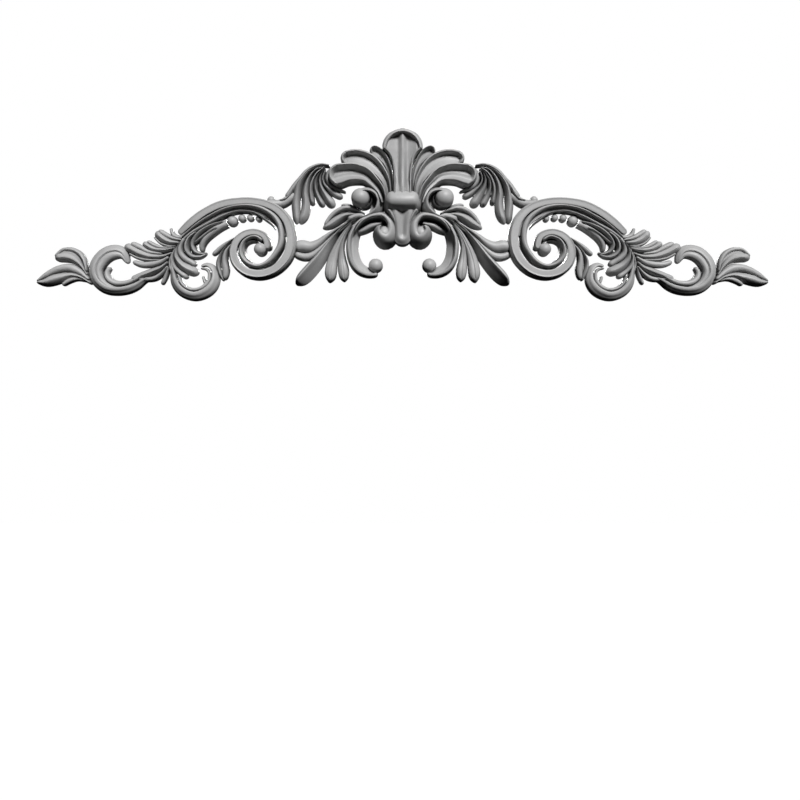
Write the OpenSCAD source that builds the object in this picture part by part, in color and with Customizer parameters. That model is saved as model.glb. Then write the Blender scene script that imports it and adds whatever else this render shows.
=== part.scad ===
// Carved scroll-and-shell pediment ornament: one flat-backed piece of openwork relief.
// It stands on its back plane, y = 0; the carving rises towards -y, +z is up, x = 0 is the mirror line.
// Every fold, roll and flute is one strip: stations [across, up, half width, crest height] along a
// smooth line, given for the standard size and scaled by the sizes below. The left half is the mirror
// image of the right half.

/* [Overall] */
// Width from tip to tip, mm.
overall_w = 796; // [640:4:960]
// Height from the foot of the small scroll to the top of the shell, mm.
overall_h = 182.8; // [152:0.4:219.2]
// Greatest relief, at the lip of the shell, mm.
relief = 35; // [28:0.5:42]

/* [Carving] */
// Fullness of the leaves: their width against the standard width.
leaf_fullness = 1; // [0.85:0.01:1.15]
// Share of the crest height that a rounded fold keeps as side wall.
fold_wall = 0.5; // [0.4:0.01:0.65]
// Share of the rim height left at the bottom of a shell flute.
flute_floor = 0.68; // [0.5:0.01:0.9]
// Fullness of the scroll bands: their width against the standard width.
band_fullness = 1; // [0.85:0.01:1.15]
// Share of the crest height left at the outer shoulder of a scroll band.
shoulder_share = 0.8; // [0.65:0.01:0.95]

/* [Balls and beads] */
// Radius of the ball in the upper volute, mm.
upper_ball_r = 11.6; // [9:0.1:14]
// Radius of the ball at the end of the bowed arm, mm.
arm_ball_r = 8; // [6.4:0.1:9.6]
// Radius of the eye of the large scroll, mm.
eye_r = 8.6; // [7:0.1:10]
// Number of beads that fall out of the husk.
bead_count = 4; // [2:1:4]
// Radius of the first and largest bead, mm.
bead_r = 6.2; // [5:0.1:7.2]
// Size of each bead against the one before it.
bead_ratio = 0.83; // [0.7:0.01:0.9]

/* [Hidden] */
// Colour of the carving.
grey = [0.62, 0.62, 0.61];
// Scales against the standard size.
kx = overall_w / 796;
kz = overall_h / 182.8;
ky = relief / 35;
kw = (kx + kz) / 2;
// Narrowest share of its width that a rounded tip keeps.
tip_blunt = 0.03;

// Station i of a strip, carried on in a straight line past either end.
function at(p, i) =
    i < 0 ? 2 * p[0] - p[1] :
    i > len(p) - 1 ? 2 * p[len(p) - 1] - p[len(p) - 2] :
    p[i];

// Smooth line through the stations, t counted in stations.
function curve(p, t) =
    let (i = min(floor(t), len(p) - 2), u = t - i, a = at(p, i - 1), b = p[i], c = p[i + 1], d = at(p, i + 2))
    (2 * b + (c - a) * u + (2 * a - 5 * b + 4 * c - d) * u * u + (3 * b - a - 3 * c + d) * u * u * u) / 2;

// Unit direction of travel at t.
function travel(p, t) =
    let (n = len(p) - 1, v = curve(p, min(n, t + 0.05)) - curve(p, max(0, t - 0.05)))
    [v[0], v[1]] / norm([v[0], v[1]]);

// Share of full width at a distance s from a tip rounded over the length a.
function tip(s, a) = a <= 0 ? 1 : sqrt(1 - pow(1 - min(1, s / a + tip_blunt), 2));

// Cross-sections: [place across from -1 (left of travel) to 1, share of the crest height].
ridge = [[-1, fold_wall], [0, 1], [1, fold_wall]];
roll = [[-1, fold_wall], [-0.5, 0.97], [0.5, 0.97], [1, fold_wall]];
veined = [[-1, fold_wall], [-0.4, 1], [0, 0.88], [0.4, 1], [1, fold_wall]];
two_folds = [[-1, fold_wall], [-0.5, 0.97], [-0.12, 0.72], [0.35, 1], [1, fold_wall]];
cupped = [[-1, 0.75], [-0.7, 1], [-0.25, 0.62], [0.6, 0.95], [1, 0.7]];
flute = [[-1, 1], [-0.45, flute_floor], [0.45, flute_floor], [1, 1]];
bowl = [[-1, 1], [-0.4, flute_floor], [0.2, flute_floor], [1, 0.95]];
lip = [[-1, 0.85], [-0.4, 1], [0.4, 1], [1, 0.85]];
band = [[-1, 1], [0.4, 1], [1, shoulder_share]];
c_moulding = [[-1, 0.8], [-0.6, 1], [-0.3, 0.75], [0, 0.97], [0.5, 0.93], [1, shoulder_share * 0.8]];
moulding = [[-1, 0.85], [-0.72, 1], [-0.36, 0.66], [-0.22, 0.84], [0.7, 0.84], [1, shoulder_share * 0.84]];
shelf = [[-1, 0.6], [0.3, 0.6], [0.62, 1], [1, 0.9]];

// The same across a tip whose width is the share c: the section turns round the end.
function turned(section, u, c) =
    let (r = sqrt(max(0.0001, 1 - c * c * (1 - u * u))), s = (u * c / r + 1) / 2)
    lookup(-r, section) * (1 - s) + lookup(r, section) * s;

// Places along a strip of n station gaps: even steps, and one more place near each rounded tip.
function places(n, steps, a, b) = concat(
    a > 0 ? [0, 0.35 * a] : [0],
    [for (i = [1 : steps - 1]) let (t = n * i / steps) if (t > a * 0.7 && t < n - b * 0.7) t],
    b > 0 ? [n - 0.35 * b, n] : [n]);

// Widths follow the leaves or the scroll bands.
function fullness(section) =
    section == moulding || section == c_moulding || section == band ? band_fullness :
    section == ridge || section == veined || section == two_folds ? leaf_fullness : 1;

// One strip: its section, roundness of both tips, steps along, stations.
module strip(section, round_a, round_b, steps, stations) {
    m = len(section) - 1;
    f = kw * fullness(section);
    p = [for (q = stations) [q[0] * kx, q[1] * kz, q[2] * f, q[3] * ky]];
    n = len(p) - 1;
    len_a = norm([p[1][0] - p[0][0], p[1][1] - p[0][1]]);
    len_b = norm([p[n][0] - p[n - 1][0], p[n][1] - p[n - 1][1]]);
    a = min(0.9, round_a * p[0][2] / len_a);
    b = min(0.9, round_b * p[n][2] / len_b);
    ts = places(n, steps, a, b);
    rings = [for (t = ts)
        let (q = curve(p, t), v = travel(p, t), c = tip(t, a) * tip(n - t, b))
        concat(
            [for (j = [0 : m])
                let (u = section[j][0])
                [q[0] + v[1] * u * c * q[2], -q[3] * turned(section, u, c), q[1] - v[0] * u * c * q[2]]],
            [[q[0] + v[1] * c * q[2], 0, q[1] - v[0] * c * q[2]],
             [q[0] - v[1] * c * q[2], 0, q[1] + v[0] * c * q[2]]])];
    w = m + 3;
    last = len(ts) - 1;
    points = [for (r = rings) each r];
    faces = concat(
        [[for (j = [0 : w - 1]) j]],
        [[for (j = [w - 1 : -1 : 0]) last * w + j]],
        [for (i = [0 : last - 1]) for (j = [0 : w - 1])
            [i * w + (j + 1) % w, i * w + j, (i + 1) * w + j]],
        [for (i = [0 : last - 1]) for (j = [0 : w - 1])
            [i * w + (j + 1) % w, (i + 1) * w + j, (i + 1) * w + (j + 1) % w]]);
    polyhedron(points = points, faces = faces, convexity = 8);
}

// A round boss of radius r whose front stands at height h, carried straight down to the back.
// The dome is the hull of discs, so it stays convex with few faces.
module ball(x, z, r, h, sides = 10) {
    top = h * ky;
    rr = min(r * kw, top);
    translate([x * kx, 0, z * kz])
        rotate([90, 0, 0])
            hull() {
                for (a = [0, 50])
                    cylinder(r = rr * cos(a), h = top - rr + rr * sin(a), $fn = sides);
            }
}

// The scallop shell: flutes and the full lower lip.
module shell() {
    // Middle flute.
    strip(flute, 0, 1, 3, [
        [5, 12, 5, 32], [5, 20, 5, 30], [5.5, 38, 6, 26], [7.5, 56, 8, 24],
        [9, 72, 10, 22], [9.5, 85, 9.5, 20]
    ]);
    // Hood over the middle flute.
    strip(ridge, 0, 1, 4, [
        [-1, 85, 2.6, 29], [8, 84, 2.6, 29], [15.5, 79.5, 2.6, 28], [19.5, 71, 2.4, 26],
        [18.5, 60, 2, 24]
    ]);
    // Narrow fold beside it.
    strip(ridge, 0, 1, 2, [
        [11.5, 18, 1.8, 30], [14, 42, 2.6, 26], [20.5, 57, 4.2, 24], [30.5, 69.5, 6, 23]
    ]);
    // Third flute.
    strip(flute, 0, 1, 4, [
        [15.5, 12, 3, 30], [16, 22, 3.5, 28], [21, 38, 5, 24], [33, 52, 7.5, 21],
        [47, 59, 8.5, 20], [63.5, 56.5, 7, 18]
    ]);
    // Outer bowl of the shell.
    strip(bowl, 0, 1, 4, [
        [21, 9, 3.4, 29], [22, 18, 4.2, 26], [28.5, 32, 6.5, 23], [40, 41, 8.8, 21],
        [53, 44, 10.2, 20], [67, 41.5, 12.5, 20], [79.5, 37, 12.5, 18]
    ]);
    // Outer slope and hook of the bowl.
    strip(ridge, 0, 1, 4, [
        [68, 49, 4, 13], [77, 44.5, 5.5, 13], [80, 36, 4.5, 12], [74, 28.5, 3.6, 11],
        [62, 23.5, 2, 8]
    ]);
    // Full lip at the foot of the shell.
    strip(lip, 0, 0.8, 2, [
        [-1, 5.5, 8.7, 35], [8, 5.5, 8.7, 35], [14.5, 6, 8.3, 34], [19.5, 6.5, 7.8, 32]
    ]);
}

// The small volute that curls out from under the shell onto a ball.
module upper_volute() {
    // Arm that rises and turns over the ball.
    strip(roll, 1, 1, 5, [
        [46.5, -7.5, 1.4, 17], [37.5, -5.5, 2.6, 18], [30.5, -2, 3.5, 20], [25.5, 2, 4.5, 22],
        [23.5, 7.5, 4.5, 23], [23.5, 13, 4.5, 24], [27, 19, 3.9, 25], [33.5, 22.5, 3.1, 25],
        [41, 23, 2.7, 25], [48, 20.5, 2.9, 24]
    ]);
    // Ball inside the volute.
    ball(45, 14.5, upper_ball_r, 27);
}

// The snail volute, the web behind it and its long bowed arm.
module lower_volute() {
    // Bowed arm that ends on a ball.
    strip(band, 1, 1, 6, [
        [27, -63, 4.5, 9], [31.5, -64.5, 5.2, 11], [39.5, -63.5, 6.1, 13.5], [47, -59, 6.7, 15.5],
        [52, -51, 6.9, 17], [54, -41.5, 6.7, 18], [54, -31.5, 6.5, 18.5], [51.5, -23, 5.8, 19.5],
        [47, -15, 5.2, 20], [40.5, -10, 4.7, 20.5], [32.5, -7.5, 4.3, 20.5], [24.5, -7, 4.2, 20.5],
        [18, -9.5, 3.9, 20], [14.5, -15, 3, 19]
    ]);
    // Snail that closes the volute.
    strip(roll, 0, 1, 9, [
        [21.5, -3.5, 3.3, 22], [16, -6, 3.9, 22.5], [11, -11.5, 4.7, 23], [9, -18.5, 5.3, 23],
        [10.5, -25, 6.3, 23.5], [15.5, -31, 7.5, 24], [21.5, -32, 7.5, 24.5], [26.5, -27.5, 6.3, 25],
        [28, -21.5, 4.5, 26], [25, -17, 2.9, 26.5], [21.5, -16, 1.6, 26.5]
    ]);
    // Low web between snail and arm.
    strip(roll, 0, 1, 1, [
        [22, -12, 3, 15], [33.5, -14.5, 4.2, 15], [40.5, -18, 4, 13.5], [49.5, -21.5, 3, 11]
    ]);
    // Ball at the end of the arm.
    ball(29, -56.5, arm_ball_r, 13);
}

// Fluted drop between the two snails.
module pendant() {
    // Fluted drop.
    strip(flute, 0, 0, 3, [
        [0, 1, 16, 27], [0, -5, 13.5, 26], [0, -12, 10, 24], [0, -20, 8.5, 21],
        [0, -27, 9, 20], [0, -34, 10.5, 19]
    ]);
}

// Leaf fan that springs from the bowed arm.
module lower_leaves() {
    // Short leaf with two folds.
    strip(two_folds, 0, 1, 2, [
        [41, -2.5, 1.9, 16], [53, 1, 5.6, 13.5], [65, -1, 8.6, 12], [76.5, -8, 8, 10],
        [86, -15, 3.2, 7]
    ]);
    // Stalk that meets the large scroll.
    strip(two_folds, 0, 0.6, 2, [
        [65.5, -15.5, 7.8, 14], [79, -25.5, 5.3, 12], [87.5, -33.5, 7.5, 12], [95.5, -39, 10.2, 12],
        [107.5, -40, 11.3, 12.5], [119.5, -38.5, 7, 12]
    ]);
    // Long outer finger.
    strip(ridge, 0, 1, 3, [
        [57.5, -10.5, 1.2, 15], [68.5, -21, 3, 13], [78.5, -33.5, 4.8, 11.5], [89, -49, 6.7, 14],
        [99, -61, 7.7, 15], [107.5, -70, 7.3, 14.5], [115.5, -77, 4.2, 11]
    ]);
    // Middle finger.
    strip(two_folds, 0, 1, 3, [
        [54.5, -11.5, 1, 15.5], [63.5, -23.5, 2.8, 13.5], [71, -37.5, 4.2, 11.5], [75.5, -50, 5.6, 10.5],
        [77.5, -61.5, 6.5, 11.5], [78, -68, 5.9, 11], [79, -75, 3, 7.5]
    ]);
    // Inner finger.
    strip(ridge, 0, 1, 2, [
        [54.5, -13.5, 0.9, 15.5], [61.5, -24, 1.8, 13.5], [65.5, -36.5, 2.8, 11.5], [65.5, -49, 4.6, 9.5],
        [64, -60.5, 5.9, 11], [63.5, -68, 5.2, 10], [63, -74, 2.6, 7]
    ]);
}

// Drooping leaf between the shell and the large scroll.
module upper_leaves() {
    // Arched back of the leaf.
    strip(ridge, 0, 1, 3, [
        [78.5, 51, 1.2, 12], [87, 52, 1.8, 13], [96, 49.5, 2.4, 13.5], [104, 44, 2.8, 13.5],
        [110, 37, 3, 13], [116, 30, 3.4, 12], [121, 23, 3.4, 11], [126, 16.5, 3.4, 10]
    ]);
    // Long tongue with two folds.
    strip(two_folds, 0, 1, 3, [
        [87, 48, 4.6, 18], [96, 44.5, 3.8, 18], [105, 34, 6.9, 16.5], [109, 23, 9.1, 14],
        [110, 11, 10.5, 11.5], [110.5, -1, 9.3, 10], [113, -12, 6, 9]
    ]);
    // Tie from the leaf to the large scroll.
    strip(ridge, 0, 0, 1, [
        [117, 20.5, 4, 9], [123, 15.5, 5, 10], [130, 11, 5, 10.5], [137.5, 10, 4.6, 12],
        [144.5, 10.5, 4, 13]
    ]);
    // First short finger.
    strip(ridge, 0, 1, 2, [
        [84, 47, 1.1, 18], [91.5, 42, 2, 17.5], [96.5, 34.5, 2.7, 16], [99, 25.5, 3.1, 13.5],
        [98.5, 17, 3.2, 10.5], [97, 9, 3, 7.5]
    ]);
    // Second short finger.
    strip(ridge, 0, 1, 2, [
        [84, 46, 1.1, 18], [89.5, 40.5, 1.9, 17.5], [93.5, 33.5, 2.4, 16], [94, 25.5, 2.9, 13],
        [91, 17.5, 3.6, 9.5], [85.5, 7.5, 3.8, 8.5]
    ]);
    // Broad finger.
    strip(ridge, 0, 1, 3, [
        [83, 45.5, 0.9, 18], [87.5, 39.5, 1.9, 17.5], [89, 33, 2.7, 16], [87, 25.5, 3.7, 13.5],
        [82, 17.5, 4.8, 10.5], [74.5, 7, 5.5, 10.5]
    ]);
    // Last finger, tucked under the shell.
    strip(ridge, 0, 1, 2, [
        [83, 44, 0.9, 17], [85.5, 37, 1.2, 16], [84.5, 31, 1.6, 14], [80, 26, 2.3, 12],
        [73.5, 21.5, 3.4, 9.5], [65, 17.5, 3.5, 8]
    ]);
    // Small knob on the tie.
    ball(142, 14, 4.2, 11);
}

// The large scroll: moulded band with a raised inner ridge, wound to the eye.
module large_scroll() {
    // Band and ridge.
    strip(moulding, 0, 0, 18, [
        [240.5, -23.5, 5, 12], [227.5, -11.5, 6, 14], [213, -2, 6.5, 15], [197, 6, 6.5, 15.5],
        [180.5, 10, 5.9, 16], [163, 10.5, 6, 16], [147.5, 7, 7.2, 16], [134, -2, 8.5, 16.5],
        [126.5, -14, 9.7, 17], [124, -29, 10.3, 17.5], [127, -43, 10.8, 18], [136.5, -55.5, 10.75, 19],
        [149, -62.5, 9.55, 19], [161.5, -63, 9.35, 20], [173.5, -55.5, 9.45, 21], [178, -43.5, 8.3, 22],
        [174, -31, 7.2, 22], [162.5, -24, 6, 21.5], [150, -27, 5.7, 20.5], [146.5, -37, 6.1, 20]
    ]);
    // Shelf with the thin roll over the beads.
    strip(shelf, 1, 0, 3, [
        [135.5, -21, 2, 13], [142, -11.5, 3, 14], [156, 0.5, 4.2, 14], [174, 4, 4.7, 14],
        [194, -1.5, 5.5, 14], [211.5, -9.5, 5.7, 14], [237.5, -27.5, 4, 12]
    ]);
    // Eye of the scroll.
    ball(153, -40, eye_r, 20.5);
}

// Leaf that fills the corner between the two scrolls.
module side_leaf() {
    // Short fold.
    strip(ridge, 0, 1, 2, [
        [177, -24, 1, 13], [189.5, -32.5, 2.3, 10.5], [197.5, -38, 3, 8.5], [206, -45, 2.4, 7]
    ]);
    // Long leaf with two folds.
    strip(ridge, 0, 1, 3, [
        [180.5, -27.5, 2.5, 14], [191, -41, 3.9, 12.5], [195, -51.5, 6.7, 10.5], [194.5, -62.5, 6.9, 9],
        [192.5, -73, 2.8, 7]
    ]);
}

// Husk that sheds the beads, and the leaves that fall over the small scroll.
module husk() {
    // Open sheath.
    strip(two_folds, 0, 1, 3, [
        [190, -11, 4.4, 13.5], [198.5, -14, 5.8, 14.5], [207, -18.5, 7.4, 15.5], [216, -25, 8.8, 15],
        [212.5, -39, 4.8, 10], [213, -43, 1.8, 7]
    ]);
    // Hooked leaf.
    strip(ridge, 0, 1, 4, [
        [221.5, -20.5, 1.9, 15], [229.5, -27, 2.7, 15.5], [233.5, -35, 3.3, 14.5], [232.5, -42, 3.3, 12.5],
        [227, -46.5, 3.2, 10], [219, -46.5, 2.7, 7.5], [212, -43, 1.3, 5.5]
    ]);
    // Thin leaf.
    strip(ridge, 0, 1, 2, [
        [234.5, -28, 1.9, 14], [239.5, -35.5, 3.2, 13.5], [240, -43, 3.8, 12], [235, -49, 3.8, 10],
        [229, -52.5, 3.5, 8], [223.5, -56, 3.2, 7.5]
    ]);
    // Broad leaf.
    strip(ridge, 0, 1, 2, [
        [238, -31, 1.2, 15], [243.5, -40, 2.4, 15], [244, -48.5, 4, 14], [239, -56, 5.3, 12],
        [231, -61, 5.9, 11], [221, -64.5, 4.4, 9]
    ]);
    // Narrow leaf.
    strip(ridge, 0, 1, 2, [
        [244.5, -39, 1.2, 14], [248.5, -48.5, 2.2, 12.5], [247, -57, 2.8, 10.5], [241.5, -63.5, 3.1, 8.5],
        [232.5, -69.5, 3.3, 8]
    ]);
}

// The small open scroll under the leaves.
module small_scroll() {
    // Band and inner roll.
    strip(c_moulding, 0.6, 0, 9, [
        [219, -57.5, 2.5, 6], [210, -58, 5.3, 7.5], [205, -65.5, 6.4, 8.5], [206, -75, 7.3, 9.5],
        [212, -82.5, 8.2, 10.5], [220.5, -86.5, 8.3, 11], [230, -86.5, 8.1, 11], [239, -82, 7.9, 11],
        [244.5, -73.5, 7.1, 11], [246.5, -63.5, 7.1, 11], [245, -57, 11.7, 11]
    ]);
    // Curl inside the scroll.
    strip(ridge, 0, 1, 2, [
        [213, -76.5, 2.2, 8], [215, -72, 2, 7], [216.5, -67.5, 1.6, 6]
    ]);
}

// Leaf fan towards the end of the piece.
module outer_leaves() {
    // Rib the fingers spring from.
    strip(ridge, 0, 1, 2, [
        [233, -25, 3, 8], [244, -37, 5, 9.5], [250, -49, 5.5, 9.5], [252, -64, 3, 8]
    ]);
    // Small flame.
    strip(ridge, 0, 1, 2, [
        [233.5, -26, 1.7, 9], [242.5, -26, 2.6, 8], [248.5, -23, 2.7, 7], [251.5, -15.5, 1.5, 6]
    ]);
    // First finger.
    strip(ridge, 0, 1, 2, [
        [239, -31.5, 3.7, 12], [249.5, -30.5, 5.7, 10.5], [259, -25.5, 6.5, 9.5], [267, -19, 5.4, 9.5]
    ]);
    // Second finger.
    strip(ridge, 0, 1, 2, [
        [246.5, -37.5, 2.9, 12], [258, -39.5, 4, 10], [270, -37, 5.3, 8.5], [280, -30.5, 5, 8]
    ]);
    // Third finger, the longest.
    strip(two_folds, 0, 1, 3, [
        [260, -47.5, 4.6, 9], [269, -46.5, 5.8, 8.5], [278, -44.5, 7.2, 7.5], [287, -41, 8.4, 8],
        [295, -36.5, 7.9, 7.5]
    ]);
    // Short lower finger.
    strip(ridge, 0, 1, 2, [
        [251.5, -47.5, 1.9, 12], [262, -53, 3.2, 10.5], [273, -55, 3.6, 8.5], [283.5, -55, 3.4, 8],
        [292.5, -52, 2.5, 7]
    ]);
    // Folds that run into the outer scroll.
    strip(ridge, 0, 0, 2, [
        [253, -54.5, 3.9, 12.5], [261, -61.5, 5.8, 12], [270.5, -66, 7.5, 11], [280.5, -69, 6.6, 10.5],
        [291, -70.5, 4.8, 10]
    ]);
    // Small spur.
    strip(ridge, 0, 1, 1, [
        [252.5, -58, 1.2, 11], [256.5, -68, 2.4, 8], [261, -77, 2.2, 6.5]
    ]);
}

// The outer open scroll.
module outer_scroll() {
    // Band and middle roll.
    strip(c_moulding, 0, 1, 10, [
        [279, -73, 2.4, 9], [287.5, -78.5, 3.8, 10], [298.5, -82.5, 4.5, 11], [310, -83, 5, 11.5],
        [321.5, -78.5, 6.7, 12], [329, -71.5, 7.9, 12], [332, -61, 8.1, 12], [329, -50.5, 8.3, 11],
        [321.5, -43.5, 8.1, 10], [312, -41.5, 7.5, 9], [304, -43, 6.4, 8], [299.5, -48, 4.2, 6.5],
        [298.5, -54, 2.4, 5]
    ]);
    // Inner roll and its curl.
    strip(roll, 0, 1, 5, [
        [280, -66.5, 2, 10], [289, -71.5, 2.8, 10], [297.5, -75, 3.1, 10], [307, -76, 3.3, 9.5],
        [314.5, -74, 3.5, 9.5], [319.5, -69, 3.5, 9], [320, -63, 3.1, 8], [316.5, -58, 2.4, 7]
    ]);
}

// Three-lobed leaf at the tip.
module end_leaf() {
    // Upper lobe, cupped.
    strip(cupped, 0, 1, 3, [
        [337, -72, 2.5, 9.5], [344, -59.5, 3.7, 9.5], [350.5, -49, 7.9, 9.5], [359.5, -45, 8.6, 9.5],
        [369.5, -45, 7.5, 10], [377.5, -48.5, 3.6, 9.5]
    ]);
    // Long lobe.
    strip(two_folds, 0, 1, 3, [
        [333, -77.5, 3.4, 10.5], [347.5, -66.5, 5.6, 10], [361, -63, 9.1, 10], [374, -66.5, 10.2, 11],
        [388, -72, 7.2, 10], [397.9, -74, 1.7, 5.5]
    ]);
    // Small lower lobe.
    strip(ridge, 0, 1, 2, [
        [340.5, -73.5, 1.4, 9], [352, -70.5, 2.6, 7.5], [361, -72.5, 3, 7.5], [369, -77.5, 2.2, 6.5]
    ]);
}
// Distance along the bead line to the centre of bead i.
function bead_run(i) = i <= 0 ? 0 : bead_run(i - 1) + bead_r * 1.06 * (pow(bead_ratio, i - 1) + pow(bead_ratio, i));

// The beads, each smaller than the last, in a row that hangs from the thin roll.
module beads() {
    for (i = [0 : bead_count - 1]) {
        r = bead_r * pow(bead_ratio, i);
        run = bead_run(i);
        ball(184 - run, -2.4 + run * 0.2 - run * run * 0.0095 - r * 0.9, r, 6 + r, 7);
    }
}

// The right half.
module half() {
    shell();
    upper_volute();
    lower_volute();
    pendant();
    lower_leaves();
    upper_leaves();
    large_scroll();
    side_leaf();
    husk();
    small_scroll();
    outer_leaves();
    outer_scroll();
    end_leaf();
    beads();
}

// The whole carving.
module scroll_pediment() {
    color(grey)
        union() {
            half();
            mirror([1, 0, 0])
                half();
        }
}

scroll_pediment();
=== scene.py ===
import math

import bpy
import numpy as np
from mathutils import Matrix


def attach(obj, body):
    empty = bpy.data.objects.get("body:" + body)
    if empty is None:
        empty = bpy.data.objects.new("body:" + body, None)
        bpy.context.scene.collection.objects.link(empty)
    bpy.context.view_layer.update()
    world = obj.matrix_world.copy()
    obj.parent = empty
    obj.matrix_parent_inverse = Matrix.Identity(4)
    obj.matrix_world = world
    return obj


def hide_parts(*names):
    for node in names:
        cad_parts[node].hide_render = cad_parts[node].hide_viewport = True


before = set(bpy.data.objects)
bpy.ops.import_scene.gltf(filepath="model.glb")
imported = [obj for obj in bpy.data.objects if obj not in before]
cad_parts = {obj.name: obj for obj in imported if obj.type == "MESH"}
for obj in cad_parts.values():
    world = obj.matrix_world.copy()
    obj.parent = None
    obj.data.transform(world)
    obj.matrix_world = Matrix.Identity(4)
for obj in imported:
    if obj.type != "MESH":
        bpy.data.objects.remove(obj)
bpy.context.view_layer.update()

bl_info = {
    "name": "Carved Scroll Pediment",
    "version": (1, 0, 0),
    "blender": (4, 5, 0),
    "location": "3D View > Sidebar > Pediment",
    "description": "Builds a carved shell and scroll pediment ornament and a studio for it",
    "category": "Object",
}

MM = 0.001
NODE = "scroll_pediment"

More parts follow.
